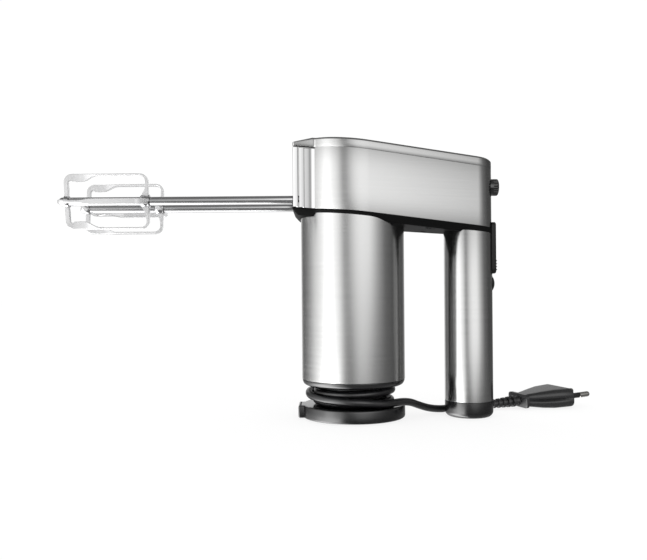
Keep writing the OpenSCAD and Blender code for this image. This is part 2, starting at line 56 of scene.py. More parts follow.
TUBE_R = 36.0
HEAD_R = 38.0
HEAD_END_X = 80.6
NOSE_HALF = 28.0
EJECT_Z = 160.0
TURBO_Z = 92.6
scene = bpy.context.scene
scene.view_settings.view_transform = "Standard"


# ---- camera ----

camera_data = bpy.data.cameras.new("camera")
camera_data.lens = 38.39
camera_data.sensor_width = 36.0
camera_data.shift_y = 0.0232
camera = bpy.data.objects.new("camera", camera_data)
camera.location = (-0.0206, -0.485, 0.0854)
camera.rotation_mode = "QUATERNION"
upright = Matrix.Rotation(math.radians(90), 3, "X")
roll = Matrix.Rotation(math.radians(-0.45), 3, "Z")
camera.rotation_quaternion = (upright @ roll).to_quaternion()
scene.collection.objects.link(camera)
scene.camera = camera


# ---- materials ----


# The part of the noise's range that carries most of it
NOISE_LOW = 0.25
NOISE_HIGH = 0.75


def shader(tree, kind, values):
    """A shader node with the values of its sockets."""
    made = tree.nodes.new(kind)
    for socket, value in values.items():
        made.inputs[socket].default_value = value
    return made


def finish_of(name, colour, metallic=0.0, rough=0.4, ior=1.5, level=0.5, streak=None, shade=0.0,
              bump=0.0, vary=0.0, detail=3.0):
    """A Principled material; streak is the noise's scale along X, Y and Z, per metre."""
    made = bpy.data.materials.new(name)
    made.use_nodes = True
    tree = made.node_tree
    links = tree.links
    body = tree.nodes["Principled BSDF"]
    for socket, value in (("Base Color", (*colour, 1.0)), ("Metallic", metallic), ("Roughness", rough),
                          ("IOR", ior), ("Specular IOR Level", level)):
        body.inputs[socket].default_value = value
    if streak:
        place = tree.nodes.new("ShaderNodeTexCoord")
        scale = shader(tree, "ShaderNodeMapping", {"Scale": streak})
        noise = shader(tree, "ShaderNodeTexNoise", {"Scale": 1.0, "Detail": detail, "Roughness": 0.6})
        links.new(place.outputs["Object"], scale.inputs["Vector"])
        links.new(scale.outputs["Vector"], noise.inputs["Vector"])
        if shade:
            tone = shader(tree, "ShaderNodeMapRange", {"From Min": NOISE_LOW, "From Max": NOISE_HIGH})
            mix = tree.nodes.new("ShaderNodeMix")
            mix.data_type = "RGBA"
            mix.inputs["A"].default_value = (*[c * (1 - shade) for c in colour], 1.0)
            mix.inputs["B"].default_value = (*[min(1.0, c * (1 + shade)) for c in colour], 1.0)
            links.new(noise.outputs["Fac"], tone.inputs["Value"])
            links.new(tone.outputs["Result"], mix.inputs["Factor"])
            links.new(mix.outputs["Result"], body.inputs["Base Color"])
        if vary:
            spread = shader(tree, "ShaderNodeMapRange",
                            {"From Min": NOISE_LOW, "From Max": NOISE_HIGH,
                             "To Min": rough - vary, "To Max": rough + vary})
            links.new(noise.outputs["Fac"], spread.inputs["Value"])
            links.new(spread.outputs["Result"], body.inputs["Roughness"])
        if bump:
            relief = shader(tree, "ShaderNodeBump", {"Strength": bump, "Distance": 0.00005})
            links.new(noise.outputs["Fac"], relief.inputs["Height"])
            links.new(relief.outputs["Normal"], body.inputs["Normal"])
    return made


STEEL = (0.80, 0.80, 0.795)
brushed = finish_of("brushed_steel", STEEL, 1.0, 0.2, streak=(18, 18, 1900), shade=0.045, vary=0.05,
                    bump=0.10, detail=4)
brushed_top = finish_of("brushed_steel_top", STEEL, 1.0, 0.24, streak=(18, 1900, 18), shade=0.045,
                        vary=0.05, bump=0.10, detail=4)
# Painted shade: a darker copy of the brushed steel for the lid's sides
lid_steel_painted_shade = finish_of("brushed_steel_lid_painted_shade", (0.69, 0.69, 0.685), 1.0, 0.2, streak=(18, 18, 1900),
                        shade=0.045, vary=0.05, bump=0.10, detail=4)
polished = finish_of("polished_steel", (0.86, 0.86, 0.86), 1.0, 0.11, streak=(60, 60, 60), vary=0.03)
chrome = finish_of("chrome", (0.90, 0.90, 0.91), 1.0, 0.16, streak=(90, 90, 90), vary=0.03)
# Painted reflection: the tines' chrome is half white diffuse, so that it shows bright as if it mirrored the
# white room
tine_chrome_painted_white = finish_of("chrome_painted_reflection", (0.94, 0.94, 0.945), 0.5, 0.24, streak=(90, 90, 90), vary=0.05)
machined = finish_of("machined_steel", (0.55, 0.55, 0.56), 1.0, 0.32, streak=(1200, 40, 40), shade=0.08,
                     bump=0.1)
black = finish_of("black_plastic", (0.006, 0.006, 0.0065), 0.0, 0.17, 1.8, 0.8,
                  streak=(1500, 1500, 1500), vary=0.04, bump=0.12)
dark_black = finish_of("black_underside", (0.006, 0.006, 0.006), 0.0, 0.5, 1.5, 0.04,
                       streak=(1500, 1500, 1500), vary=0.05, bump=0.15)
control_black = finish_of("black_controls", (0.009, 0.009, 0.009), 0.0, 0.36, 1.5, 0.38,
                          streak=(1500, 1500, 1500), vary=0.05, bump=0.15)
grey = finish_of("grey_plastic", (0.10, 0.10, 0.105), 0.0, 0.42, streak=(1500, 1500, 1500), bump=0.15)
foot_rubber = finish_of("foot_rubber", (0.045, 0.045, 0.045), 0.0, 0.8, streak=(900, 900, 900),
                        shade=0.2, bump=0.3)
lead_rubber = finish_of("lead_rubber", (0.010, 0.010, 0.011), 0.0, 0.3, 1.7, 0.8,
                        streak=(1200, 1200, 1200), vary=0.05, bump=0.12)
plug_rubber = finish_of("plug_rubber", (0.02, 0.02, 0.021), 0.0, 0.3, 1.6, 0.75,
                        streak=(1500, 1500, 1500), vary=0.06, bump=0.18)
cast = finish_of("cast_bracket", (0.55, 0.55, 0.57), 1.0, 0.45, streak=(700, 700, 700), shade=0.08,
                 bump=0.3)
laminated = finish_of("laminations", (0.24, 0.25, 0.27), 1.0, 0.5, streak=(5, 5, 1800), shade=0.25,
                      bump=0.3)
copper = finish_of("copper_winding", (0.62, 0.30, 0.14), 1.0, 0.35, streak=(200, 200, 1500), shade=0.2,
                   bump=0.3)
bronze = finish_of("bronze", (0.66, 0.47, 0.24), 1.0, 0.38, streak=(900, 900, 900), shade=0.1)
carbon = finish_of("carbon", (0.02, 0.02, 0.02), 0.0, 0.6, streak=(900, 900, 900), shade=0.2)
nylon = finish_of("white_nylon", (0.85, 0.84, 0.78), 0.0, 0.45, streak=(900, 900, 900), shade=0.03)
board = finish_of("board_green", (0.03, 0.20, 0.07), 0.0, 0.25, streak=(400, 400, 400), shade=0.1)
nickel = finish_of("nickel", (0.80, 0.78, 0.74), 1.0, 0.16, streak=(90, 90, 90), vary=0.04)
SLOTS = {
    "brushed_steel": brushed, "polished_steel": polished, "chrome": chrome,
    "machined_steel": machined, "black_plastic": black, "grey_plastic": grey,
    "foot_rubber": foot_rubber, "lead_rubber": lead_rubber, "cast_bracket": cast,
    "laminations": laminated, "copper_winding": copper, "bronze": bronze, "carbon": carbon,
    "white_nylon": nylon, "board_green": board, "nickel": nickel,
}
for part in frame["record"]["subparts"]:
    node = frame["nodes"][part["node"]]
    node.data.materials.clear()
    node.data.materials.append(SLOTS[part["material_slot"]])
# Painted shade: the two screws under the head get the dark underside plastic in place of their machined
# steel, which hides their glint
frame["nodes"]["cover_screws"].data.materials[0] = dark_black


# ---- mesh tools, all in millimetres ----


def unit2(ax, ay):
    """A flat direction of length one."""
    size = math.hypot(ax, ay) or 1.0
    return ax / size, ay / size


def arc(cx, cy, r, first, last, steps):
    """Points along a circle between two angles, both ends with it."""
    angles = [first + (last - first) * k / steps for k in range(steps + 1)]
    return [(cx + r * math.cos(a), cy + r * math.sin(a)) for a in angles]


def soft(points, radius, closed=False, steps=4):
    """Rounds the corners of a flat line of points."""
    out, count = [], len(points)
    for i, p in enumerate(points):
        if not closed and i in (0, count - 1):
            out.append(p)
            continue
        a, b = points[i - 1], points[(i + 1) % count]
        la, lb = math.dist(a, p), math.dist(b, p)
        d = min(radius, 0.45 * la, 0.45 * lb)
        ua, ub = unit2(a[0] - p[0], a[1] - p[1]), unit2(b[0] - p[0], b[1] - p[1])
        start = (p[0] + ua[0] * d, p[1] + ua[1] * d)
        end = (p[0] + ub[0] * d, p[1] + ub[1] * d)
        for k in range(steps + 1):
            t = k / steps
            out.append(tuple(
                (1 - t) ** 2 * start[j] + 2 * t * (1 - t) * p[j] + t * t * end[j] for j in (0, 1)
            ))
    return out


def shrink(outline, inset):
    """Moves each point of a counter-clockwise outline inwards."""
    out, count = [], len(outline)
    for i, p in enumerate(outline):
        a, b = outline[i - 1], outline[(i + 1) % count]
        ta, tb = unit2(p[0] - a[0], p[1] - a[1]), unit2(b[0] - p[0], b[1] - p[1])
        nx, ny = unit2(-(ta[1] + tb[1]), ta[0] + tb[0])
        lean = max(0.35, nx * -ta[1] + ny * ta[0])
        out.append((p[0] + nx * inset / lean, p[1] + ny * inset / lean))
    return out


def piece(name, points, faces, body, nodes, slot, materials, sharp=32, pick=None):
    """A closed mesh that rides on a CAD body and stands for its nodes."""
    data = bpy.data.meshes.new(name)
    data.from_pydata([Vector(p) * MM for p in points], [], faces)
    mesh = bmesh.new()
    mesh.from_mesh(data)
    bmesh.ops.remove_doubles(mesh, verts=mesh.verts, dist=1e-7)
    bmesh.ops.recalc_face_normals(mesh, faces=mesh.faces)
    mesh.to_mesh(data)
    mesh.free()
    made = bpy.data.objects.new(name, data)
    scene.collection.objects.link(made)
    for one in materials:
        data.materials.append(one)
    smooth(made, sharp)
    if pick:
        for face in data.polygons:
            face.material_index = pick(face)
    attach(made, body)
    if nodes:
        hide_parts(*nodes)
    return made


def smooth(made, sharp):
    """Smooth shading, with edges sharper than the angle left crisp."""
    data = made.data
    data.polygons.foreach_set("use_smooth", [True] * len(data.polygons))
    data.set_sharp_from_angle(angle=math.radians(sharp))


def skin(loops, closed=False):
    """Points and faces through loops of equal length, with flat ends unless it is closed."""
    count, rows = len(loops[0]), len(loops)
    points = [p for loop in loops for p in loop]
    faces = []
    for i in range(rows if closed else rows - 1):
        j = (i + 1) % rows
        for k in range(count):
            n = (k + 1) % count
            faces.append((i * count + k, i * count + n, j * count + n, j * count + k))
    if not closed:
        faces.append(tuple(range(count)))
        faces.append(tuple((rows - 1) * count + k for k in range(count)))
    return points, faces


def add(*shapes):
    """Joins several (points, faces) into one."""
    points, faces = [], []
    for p, f in shapes:
        base = len(points)
        points += p
        faces += [tuple(i + base for i in face) for face in f]
    return points, faces


def lathe(profile, x=0.0, y=0.0, around=160, top=None, closed=False):
    """Turns (radius, height) about a vertical axis; heights from the mark top on follow the slope."""
    loops = []
    for r, z in profile:
        loop = []
        for k in range(around):
            a = 2 * math.pi * k / around
            px, py = x + r * math.cos(a), y + r * math.sin(a)
            loop.append((px, py, z - px * SLOPE if top is not None and z >= top else z))
        loops.append(loop)
    return skin(loops, closed)


def turned_x(profile, y, z, around=64, closed=False):
    """Turns (along X, radius) about an axis that is parallel to X."""
    return skin([[(px, y + r * math.cos(2 * math.pi * k / around),
                   z + r * math.sin(2 * math.pi * k / around)) for k in range(around)]
                 for px, r in profile], closed)


def stack(outline, levels, sloped=True):
    """A plate through insets of a flat outline, (inset, height) from one end to the other."""
    loops = []
    for inset, height in levels:
        loops.append([(px, py, height - px * SLOPE if sloped else height)
                      for px, py in (shrink(outline, inset) if inset else outline)])
    return skin(loops)


def cut(made, points, faces, sharp=32):
    """Takes a closed shape out of a piece."""
    data = bpy.data.meshes.new("cutter")
    data.from_pydata([Vector(p) * MM for p in points], [], faces)
    mesh = bmesh.new()
    mesh.from_mesh(data)
    bmesh.ops.recalc_face_normals(mesh, faces=mesh.faces)
    mesh.to_mesh(data)
    mesh.free()
    tool = bpy.data.objects.new("cutter", data)
    scene.collection.objects.link(tool)
    step = made.modifiers.new("cut", "BOOLEAN")
    step.operation = "DIFFERENCE"
    step.solver = "EXACT"
    step.object = tool
    bpy.context.view_layer.update()
    shape = made.evaluated_get(bpy.context.evaluated_depsgraph_get())
    result = bpy.data.meshes.new_from_object(shape)
    made.modifiers.clear()
    made.data = result
    bpy.data.objects.remove(tool)
    smooth(made, sharp)


# Where the lid starts to fall towards the nose, and the steps in each of the nose's corners
FOLD_X = -27.0
CORNER_STEPS = 6


def head_outline(inset, reach=None):
    """The head seen from above, counter-clockwise; with reach it has its square nose."""
    wide, slim, half = HEAD_R - inset, HANDLE_R - inset, NOSE_HALF - inset
    lean = math.acos((wide - slim) / HEAD_END_X)
    join = math.asin(half / wide)
    line = (arc(0, 0, wide, math.pi + join, 2 * math.pi - lean, 40)
            + arc(HEAD_END_X, 0, slim, -lean, lean, 40)
            + arc(0, 0, wide, lean, math.pi - join, 40))
    if reach is None:
        return line
    corner = max(1.3 - inset, 0.2)
    middle = inset - reach + corner
    return (arc(middle, corner - half, corner, math.pi, 1.5 * math.pi, CORNER_STEPS) + [(FOLD_X, -half)]
            + line + [(FOLD_X, half)]
            + arc(middle, half - corner, corner, 0.5 * math.pi, math.pi, CORNER_STEPS))


def head_loft(levels, reach, fall=0.0):
    """The head's plan through (inset, height); beyond the fold its top falls towards the nose."""
    points, faces = skin([[(px, py, h - px * SLOPE
                            - fall * max(0.0, FOLD_X - px) * max(0.0, (h - 181.5) / 6))
                           for px, py in head_outline(inset, reach)] for inset, h in levels])
    count = len(points) // len(levels)
    top = len(points) - count
    # The top is two flat faces that share the fold
    fold = CORNER_STEPS + 1
    faces[-1] = tuple(range(top + fold, top + count - fold))
    faces.append(tuple(range(top, top + fold + 1)) + tuple(range(top + count - fold - 1, top + count)))
    return points, faces


# ---- mains lead ----

GLAND_START = math.radians(100)
GLAND_END = math.radians(148)
GLAND_Z = 13
LEAD_R = 2.6
PLUG_AT = (98, 22.6, 3.65)
RELIEF_LONG = 27
PLUG_LONG = 38
# Turns since the gland, radius and height of the winding's middle line
WINDING = [
    (0.0, 26.6, 13.0), (0.12, 25.9, 12.3), (0.3, 25.9, 12.15), (0.74, 25.9, 12.2), (0.9, 25.9, 16.4),
    (1.0, 25.9, 19.1), (1.1, 25.9, 17.7), (1.3, 25.9, 18.3), (1.5, 25.9, 19.3), (1.72, 28.5, 18.8),
    (1.84, 31.1, 18.6), (1.94, 31.1, 18.4), (2.06, 31.1, 17.5), (2.16, 31.1, 16.2), (2.25, 31.1, 15.1),
    (2.34, 31.1, 14.2), (2.4445, 31.2, 12.3),
]
TAIL = [
    (26, -19.2, 12.2), (33, -13.6, 12.1), (39, -8.6, 10.9), (45, -3.6, 8.3), (51, 1.6, 5.8),
    (57, 6.8, 4), (63.5, 12, 2.9), (70, 16.8, 2.6), (77, 20.2, 2.6), (84, 21.6, 2.6), (91, 22, 2.9),
    PLUG_AT,
]


def between(keys, t):
    """Smooth value of a table of keys at t."""
    for a, b in zip(keys, keys[1:]):
        if t <= b[0]:
            u = (t - a[0]) / (b[0] - a[0])
            u = u * u * (3 - 2 * u)
            return [p + (q - p) * u for p, q in zip(a[1:], b[1:])]
    return list(keys[-1][1:])


def through(points, steps=6):
    """A smooth line through points."""
    ends = [tuple(2 * a - b for a, b in zip(points[0], points[1])), *points,
            tuple(2 * a - b for a, b in zip(points[-1], points[-2]))]
    out = []
    for i in range(1, len(ends) - 2):
        p0, p1, p2, p3 = ends[i - 1: i + 3]
        for k in range(steps):
            t = k / steps
            out.append(tuple(0.5 * (2 * b + (c - a) * t + (2 * a - 5 * b + 4 * c - d) * t * t
                                    + (3 * b - a - 3 * c + d) * t ** 3)
                             for a, b, c, d in zip(p0, p1, p2, p3)))
    out.append(tuple(points[-1]))
    return out


turns = WINDING[-1][0]
per_turn = 60
coil_line = []
for k in range(int(turns * per_turn) + 1):
    t = k / per_turn
    r, z = between(WINDING, t)
    a = GLAND_END + 2 * math.pi * t
    coil_line.append((r * math.cos(a), r * math.sin(a), z))
lead_line = coil_line[:-4] + through([coil_line[-4], (19.2, -24.6, 12.25), *TAIL])
curve = bpy.data.curves.new("mains_lead", "CURVE")
curve.dimensions = "3D"
curve.bevel_depth = LEAD_R * MM
curve.bevel_resolution = 6
curve.use_fill_caps = True
line = curve.splines.new("POLY")
line.points.add(len(lead_line) - 1)
for point, place in zip(line.points, lead_line):
    point.co = (*[c * MM for c in place], 1.0)
curve.materials.append(lead_rubber)
mains_lead = bpy.data.objects.new("mains_lead", curve)
scene.collection.objects.link(mains_lead)
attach(mains_lead, "housing")
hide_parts("cord_coil", "cord_tail")

# Sleeve where the lead leaves the neck
gland_loops = []
for k in range(19):
    a = GLAND_START + (GLAND_END - GLAND_START) * k / 18
    rad = 3.3 if k < 18 else 2.9
    if 3 <= k < 18 and k % 3 == 0:
        rad = 2.95
    side = Vector((math.cos(a), math.sin(a), 0))
    gland_loops.append([tuple(side * (26.8 + rad * math.cos(q)) + Vector((0, 0, GLAND_Z + rad * math.sin(q))))
                        for q in (2 * math.pi * j / 24 for j in range(24))])
cosine, sine = math.cos(GLAND_START), math.sin(GLAND_START)
stub = [[(cosine * d - sine * 3.2 * math.cos(q), sine * d + cosine * 3.2 * math.cos(q),
          GLAND_Z + 3.2 * math.sin(q))
         for q in (2 * math.pi * j / 24 for j in range(24))] for d in (20.8, 26.6)]
piece("gland_sleeve", *add(skin(gland_loops), skin(stub)), "housing", ["cord_gland"], "lead_rubber",
      [lead_rubber])

# Everything on the plug is drawn along +X and then moved to its place
turn = Matrix.Rotation(math.radians(18), 4, "Z") @ Matrix.Rotation(math.radians(-3.6), 4, "Y")


def at_plug(shape, along=0.0):
    """Shifts a shape along the plug and turns it into its place on the table."""
    points, faces = shape
    return [tuple(turn.to_3x3() @ Vector((p[0] + along, p[1], p[2])) + Vector(PLUG_AT))
            for p in points], faces


relief = [(0.0, 2.75), (0.3, 3.0)]
for k in range(6):
    x0 = 1.2 + 4.1 * k
    base, rib = 2.7, 3.0 + 0.22 * k
    relief += [(x0, base), (x0 + 0.25, rib), (x0 + 2.0, rib + 0.1), (x0 + 2.25, base)]
relief += [(25.9, 3.6), (27.0, 4.2), (30.0, 4.2)]
strain_relief = piece("strain_relief", *at_plug(turned_x(relief, 0, 0, 48)), "housing",
                      ["plug_strain_relief"], "lead_rubber", [plug_rubber])


def plug_section(x, wide, thick, corner, notch, lift=0.0):
    """A rounded rectangle across the plug, with a notch along each side."""
    outline = soft([(wide / 2, -thick / 2), (wide / 2, thick / 2), (-wide / 2, thick / 2),
                    (-wide / 2, -thick / 2)], corner, True, 6)
    whole = []
    for a, b in zip(outline, outline[1:] + outline[:1]):
        parts = 8 if math.dist(a, b) > 2 else 1
        whole += [(a[0] + (b[0] - a[0]) * j / parts, a[1] + (b[1] - a[1]) * j / parts)
                  for j in range(parts)]
    out = []
    for py, pz in whole:
        depth = notch * max(0.0, 1 - abs(pz) / 1.5)
        py -= math.copysign(min(depth, abs(py)), py) if abs(py) > wide / 2 - 0.6 else 0.0
        out.append((x, py, pz + lift))
    return out


body_loops = [plug_section(2.6, 12.5, 8.0, 2.6, 0.0, 0.4), plug_section(3.4, 14.6, 8.8, 2.8, 0.3, 0.35),
              plug_section(8, 17.6, 10.0, 3.2, 1.2, 0.2), plug_section(16, 24.0, 12.2, 4.2, 1.6),
              plug_section(24, 30.0, 13.6, 5.0, 1.6), plug_section(30, 32.6, 13.6, 5.2, 1.2),
              plug_section(36.6, 35.0, 13.6, 5.4, 0.5), plug_section(37.5, 34.6, 13.2, 5.4, 0.2),
              plug_section(37.95, 33.4, 12.0, 5.0, 0.0)]
flange_loops = [plug_section(0.0, 22.4, 8.6, 2.6, 0.0, 0.5), plug_section(0.5, 24.0, 10.0, 3.0, 0.0, 0.5),
                plug_section(2.5, 24.0, 10.0, 3.0, 0.0, 0.5), plug_section(3.0, 22.4, 8.8, 2.6, 0.0, 0.5)]
plug = piece("plug", *at_plug(add(skin(body_loops), skin(flange_loops)), RELIEF_LONG), "housing",
             ["plug_body"], "black_plastic", [plug_rubber], sharp=40)
pin_shapes, sleeve_shapes = [], []
for side in (-1, 1):
    y = side * 9.3
    tip = [(17 + 2 * math.sin(q), max(0.05, 2 * math.cos(q))) for q in
           (math.pi / 2 * j / 8 for j in range(9))]
    pin_shapes.append(turned_x([(9.9, 1.7), (10.1, 2.0), *tip], y, 0, 40))
    sleeve_shapes.append(turned_x([(-1.0, 1.97), (9.7, 1.97), (10.0, 1.8)], y, 0, 40))
plug_pins = piece("pins", *at_plug(add(*pin_shapes), RELIEF_LONG + PLUG_LONG), "housing", ["plug_pins"],
                  "nickel", [nickel])
sleeves = piece("pin_sleeves_black", *at_plug(add(*sleeve_shapes), RELIEF_LONG + PLUG_LONG), "housing",
                ["pin_sleeves"], "black_plastic", [black])


# ---- floor, world and light ----


# The floor and the world share one pale brightness, so that no horizon shows
PALE = 1.02
FLOOR_HALF = 8
floor_data = bpy.data.meshes.new("floor")
floor_data.from_pydata([(FLOOR_HALF * x, FLOOR_HALF * y, 0) for x, y in ((-1, -1), (1, -1), (1, 1), (-1, 1))],
                       [], [(0, 1, 2, 3)])
floor = bpy.data.objects.new("floor", floor_data)
scene.collection.objects.link(floor)
pale = bpy.data.materials.new("pale_floor")
pale.use_nodes = True
nodes, links = pale.node_tree.nodes, pale.node_tree.links
nodes.clear()
surface = nodes.new("ShaderNodeOutputMaterial")
blend = nodes.new("ShaderNodeMixShader")
blend.inputs["Fac"].default_value = 0.8
matte = nodes.new("ShaderNodeBsdfDiffuse")
matte.inputs["Color"].default_value = (1, 1, 1, 1)
glow = nodes.new("ShaderNodeEmission")
glow.inputs["Strength"].default_value = PALE
links.new(matte.outputs["BSDF"], blend.inputs[1])
links.new(glow.outputs["Emission"], blend.inputs[2])
links.new(blend.outputs["Shader"], surface.inputs["Surface"])
floor_data.materials.append(pale)
floor.visible_glossy = False

world = bpy.data.worlds.new("world")
world.use_nodes = True
background = world.node_tree.nodes["Background"]
background.inputs["Color"].default_value = (1, 1, 1, 1)
background.inputs["Strength"].default_value = PALE
world.cycles_visibility.glossy = False
scene.world = world

# What the metal mirrors: brightness by direction round the object, measured from -Y towards +X,
# for views a little upwards, a little downwards, at the foot's height and steeply down to the table
CARDS_LOW = [
    (-180, 0.95), (-166, 0.8), (-156, 0.4), (-146, 0.12), (-124, 0.24), (-108, 0.46), (-94, 0.76),
    (-80, 0.98), (-70, 1.25), (-62, 1.9), (-50, 1.8), (-43, 1.3), (-36, 1.1), (-29, 0.9), (-20, 0.42),
    (-9, 0.22), (-2, 0.31), (7, 0.52), (15, 0.62), (24, 0.58), (34, 0.42), (46, 0.26), (70, 0.14),
    (100, 0.08), (130, 0.07), (146, 0.12), (156, 0.4), (168, 0.8), (180, 0.95),
]
CARDS_HIGH = [
    (-180, 0.95), (-166, 0.8), (-156, 0.4), (-146, 0.12), (-124, 0.22), (-108, 0.42), (-94, 0.72),
    (-80, 0.92), (-70, 1.1), (-62, 1.4), (-50, 1.4), (-43, 1.15), (-36, 1.0), (-29, 0.80), (-22, 0.36),
    (-14, 0.36), (-6, 0.66), (4, 0.92), (15, 1.04), (34, 1.02), (44, 0.76), (54, 0.48), (72, 0.16),
    (100, 0.07), (130, 0.07), (146, 0.12), (156, 0.4), (168, 0.8), (180, 0.95),
]
CARDS_FOOT = [
    (-180, 0.5), (-150, 0.3), (-121, 0.6), (-98, 1.1), (-80, 2.2), (-63, 2.8), (-48, 2.8), (-35, 2.2),
    (-27, 0.6), (-20, 0.12), (0, 0.08), (90, 0.08), (150, 0.2), (180, 0.5),
]
CARDS_FLOOR = [
    (-180, 0.8), (-145, 1.0), (-127, 1.7), (-112, 3.2), (-96, 4.0), (-80, 4.0), (-64, 3.2), (-45, 1.3),
    (-19, 0.2), (0, 0.15), (90, 0.15), (150, 0.3), (180, 0.8),
]
# The brightest card; the ramps hold shares of it
PEAK = 4.0
mirror_mesh = bpy.data.meshes.new("mirrored_studio")
ball = bmesh.new()
bmesh.ops.create_uvsphere(ball, u_segments=96, v_segments=48, radius=4.0)
ball.to_mesh(mirror_mesh)
ball.free()
studio = bpy.data.objects.new("mirrored_studio", mirror_mesh)
scene.collection.objects.link(studio)
for flag in ("visible_camera", "visible_diffuse", "visible_shadow", "visible_transmission",
             "visible_volume_scatter"):
    setattr(studio, flag, False)
sky = bpy.data.materials.new("studio_light")
sky.use_nodes = True
nodes, links = sky.node_tree.nodes, sky.node_tree.links
nodes.clear()
surface = nodes.new("ShaderNodeOutputMaterial")
glow = nodes.new("ShaderNodeEmission")
place = nodes.new("ShaderNodeTexCoord")
axes = nodes.new("ShaderNodeSeparateXYZ")
flip = nodes.new("ShaderNodeMath")
flip.operation = "MULTIPLY"
flip.inputs[1].default_value = -1.0
around = nodes.new("ShaderNodeMath")
around.operation = "ARCTAN2"
share = shader(sky.node_tree, "ShaderNodeMapRange", {"From Min": -math.pi, "From Max": math.pi})


def ramp_of(cards):
    """A colour ramp through (direction in degrees, brightness)."""
    ramp = nodes.new("ShaderNodeValToRGB")
    marks = ramp.color_ramp.elements
    while len(marks) > 1:
        marks.remove(marks[0])
    for k, (angle, bright) in enumerate(cards):
        mark = marks[0] if k == 0 else marks.new((angle + 180) / 360)
        mark.position = (angle + 180) / 360
        mark.color = (*[bright / PEAK] * 3, 1)
    links.new(share.outputs["Result"], ramp.inputs["Fac"])
    return ramp


def by_height(low, high, below, over):
    """Changes from one ramp to another between two heights on the ball."""
    rise = shader(sky.node_tree, "ShaderNodeMapRange", {"From Min": low, "From Max": high})
    rise.interpolation_type = "SMOOTHSTEP"
    blend = nodes.new("ShaderNodeMix")
    blend.data_type = "RGBA"
    links.new(axes.outputs["Z"], rise.inputs["Value"])
    links.new(rise.outputs["Result"], blend.inputs["Factor"])
    for socket, colour in (("A", below), ("B", over)):
        if isinstance(colour, tuple):
            blend.inputs[socket].default_value = colour
        else:
            links.new(colour, blend.inputs[socket])
    return blend.outputs["Result"]


links.new(place.outputs["Object"], axes.inputs["Vector"])
links.new(axes.outputs["Y"], flip.inputs[0])
links.new(axes.outputs["X"], around.inputs[0])
links.new(flip.outputs["Value"], around.inputs[1])
links.new(around.outputs["Value"], share.inputs["Value"])
level = by_height(-0.6, 0.6, ramp_of(CARDS_LOW).outputs["Color"], ramp_of(CARDS_HIGH).outputs["Color"])
near_foot = by_height(-0.64, -0.54, ramp_of(CARDS_FOOT).outputs["Color"], level)
downwards = by_height(-2.5, -1.2, ramp_of(CARDS_FLOOR).outputs["Color"], near_foot)
# Towards the zenith the cards end in an even grey
whole = by_height(1.6, 3.4, downwards, (0.035, 0.035, 0.035, 1))
links.new(whole, glow.inputs["Color"])
# Light that reaches the steel by way of another steel part is weaker
path = nodes.new("ShaderNodeLightPath")
again = shader(sky.node_tree, "ShaderNodeMapRange",
               {"From Min": 1.0, "From Max": 2.0, "To Min": PEAK, "To Max": 0.3 * PEAK})
links.new(path.outputs["Glossy Depth"], again.inputs["Value"])
links.new(again.outputs["Result"], glow.inputs["Strength"])
links.new(glow.outputs["Emission"], surface.inputs["Surface"])
mirror_mesh.materials.append(sky)
sky.cycles.emission_sampling = "NONE"


# ---- motor tube, neck and foot ----

piece("tube_skin", *lathe([(35.3, 27.15), (35.75, 27.1), (36.0, 27.35), (36.0, 139.6), (35.75, 139.95),
                           (35.1, 139.95), (35.1, 27.4)], top=139.0, around=192, closed=True),
      "housing", ["motor_tube"], "brushed_steel", [brushed])
piece("end_ring", *lathe(soft([(20, 22.75), (32.5, 22.75), (34.5, 23.75), (35.42, 25.2),
                               (35.92, 27.08), (20, 27.08)], 0.7)), "housing", ["tube_end_ring"],
      "black_plastic", [black])
piece("neck_hub", *lathe([(22.9, 9.35), (22.9, 22.7)]), "housing", ["neck_core"], "black_plastic",
      [black])
# The foot is round, as wide as the tube, with a flat tab towards the beaters
TAB = 9.5
TAB_FRONT = -38.5
TAB_X = -math.sqrt(TUBE_R ** 2 - TAB ** 2)
meets = math.atan2(TAB, TAB_X)
foot_outline = (arc(TAB_FRONT + 1.0, 1.0 - TAB, 1.0, math.pi, 1.5 * math.pi, 6)
                + arc(0, 0, TUBE_R, -meets, meets, 120)
                + arc(TAB_FRONT + 1.0, TAB - 1.0, 1.0, 0.5 * math.pi, math.pi, 6))
piece("foot_base", *stack(foot_outline, [(1.6, 0.62), (0.7, 0.72), (0.25, 1.1), (0.02, 1.8), (0, 2.6),
                                         (0, 8.1), (0.08, 8.6), (0.35, 9.05), (0.8, 9.28), (2.0, 9.3)],
                          sloped=False), "housing", ["base_foot"], "black_plastic", [black], sharp=40)
pad = [(31.0, 1.9), (31.0, 0.3), (30.7, 0.0)]
for r in (28.0, 24.5, 21.0, 17.5, 14.0, 10.5, 7.0):
    pad += [(r + 0.6, 0.0), (r + 0.4, 0.5), (r - 0.4, 0.5), (r - 0.6, 0.0)]
piece("foot_pad_ribbed", *lathe(pad, around=128), "housing", ["foot_pad"], "foot_rubber", [foot_rubber])


# ---- head ----


def up_facing(face):
    """The lid's flat top is brushed the other way."""
    return 1 if face.normal.z > 0.9 else 0


# The lid's sides carry the darker, painted-shade copy of the brushed steel; its flat top carries the
# crosswise brushed one
piece("lid", *head_loft([(2.0, 181.0), (0.12, 181.0), (0.03, 181.03), (0, 181.1), (0, 185.95),
                         (0.06, 186.2), (0.25, 186.42), (1.15, 187.3), (1.4, 187.43), (1.8, 187.5)],
                        40.5, 0.297), "housing", ["top_cover"], "brushed_steel", [lid_steel_painted_shade, brushed_top],
      sharp=50, pick=up_facing)
